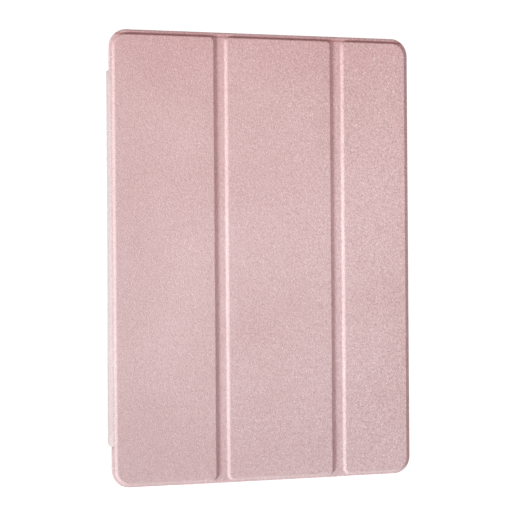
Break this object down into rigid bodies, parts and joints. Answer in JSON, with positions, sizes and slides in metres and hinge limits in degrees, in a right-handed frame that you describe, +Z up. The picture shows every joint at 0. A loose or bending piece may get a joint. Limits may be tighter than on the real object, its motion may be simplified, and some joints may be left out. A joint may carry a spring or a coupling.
{
  "type": "tablet case",
  "caption": "Upright tri-fold folio case for a tablet: clip-in plastic tray, leather-look cover hinged by a spine, folding panels with magnets.",
  "frame": {"origin": "on the floor under the middle of the closed case standing upright: the middle of its width and thickness, at its bottom edge", "axes": "+Z up the long side; the folding cover faces -Y and the tray's back faces +Y; the spine is on the -X side"},
  "size_m": [0.1802, 0.0126, 0.254],
  "materials": {
    "cover_skin": "fine-grained coated leather with a pearl sheen, rose gold",
    "cover_lining": "short-nap microfibre, rose",
    "shell_plastic": "frosted translucent, faint rose tint",
    "board_plastic": "plain stiffening sheet",
    "magnet_metal": "plated magnet"
  },
  "bodies": {
    "back": {"back_shell": "shell_plastic", "wing_skin": "cover_skin", "wing_lining": "cover_lining"},
    "spine": {"spine_skin": "cover_skin", "spine_stiffener": "board_plastic", "spine_lining": "cover_lining"},
    "panel_1": {"panel_1_skin": "cover_skin", "panel_1_board": "board_plastic", "panel_1_lining": "cover_lining", "stand_magnets": "magnet_metal"},
    "fold_1": {"fold_1_skin": "cover_skin", "fold_1_lining": "cover_lining"},
    "panel_2": {"panel_2_skin": "cover_skin", "panel_2_board": "board_plastic", "panel_2_lining": "cover_lining"},
    "fold_2": {"fold_2_skin": "cover_skin", "fold_2_lining": "cover_lining"},
    "panel_3": {"panel_3_skin": "cover_skin", "panel_3_board": "board_plastic", "panel_3_lining": "cover_lining", "closing_magnets": "magnet_metal", "wake_magnet": "magnet_metal"}
  },
  "joints": [
    {"name": "spine_back_hinge", "type": "hinge", "parent": "back", "child": "spine", "pos_m": [-0.0896, 0.00075, 0.127], "axis": [0, 0, -1], "range_deg": [0, 90]},
    {"name": "spine_cover_hinge", "type": "hinge", "parent": "spine", "child": "panel_1", "pos_m": [-0.0896, -0.00425, 0.127], "axis": [0, 0, -1], "range_deg": [0, 150]},
    {"name": "fold_1_near", "type": "hinge", "parent": "panel_1", "child": "fold_1", "pos_m": [-0.02825, -0.00425, 0.127], "axis": [0, 0, -1], "range_deg": [0, 69.75]},
    {"name": "fold_1_far", "type": "hinge", "parent": "fold_1", "child": "panel_2", "pos_m": [-0.02325, -0.00425, 0.127], "axis": [0, 0, -1], "range_deg": [0, 69.75]},
    {"name": "fold_2_near", "type": "hinge", "parent": "panel_2", "child": "fold_2", "pos_m": [0.0424, -0.00425, 0.127], "axis": [0, 0, -1], "range_deg": [0, 62.5]},
    {"name": "fold_2_far", "type": "hinge", "parent": "fold_2", "child": "panel_3", "pos_m": [0.0474, -0.00425, 0.127], "axis": [0, 0, -1], "range_deg": [0, 62.5]}
  ],
  "couplings": [
    {"joint": "spine_cover_hinge", "follows": "spine_back_hinge", "ratio": 1.6667},
    {"joint": "fold_1_far", "follows": "fold_1_near", "ratio": 1},
    {"joint": "fold_2_far", "follows": "fold_2_near", "ratio": 1}
  ]
}
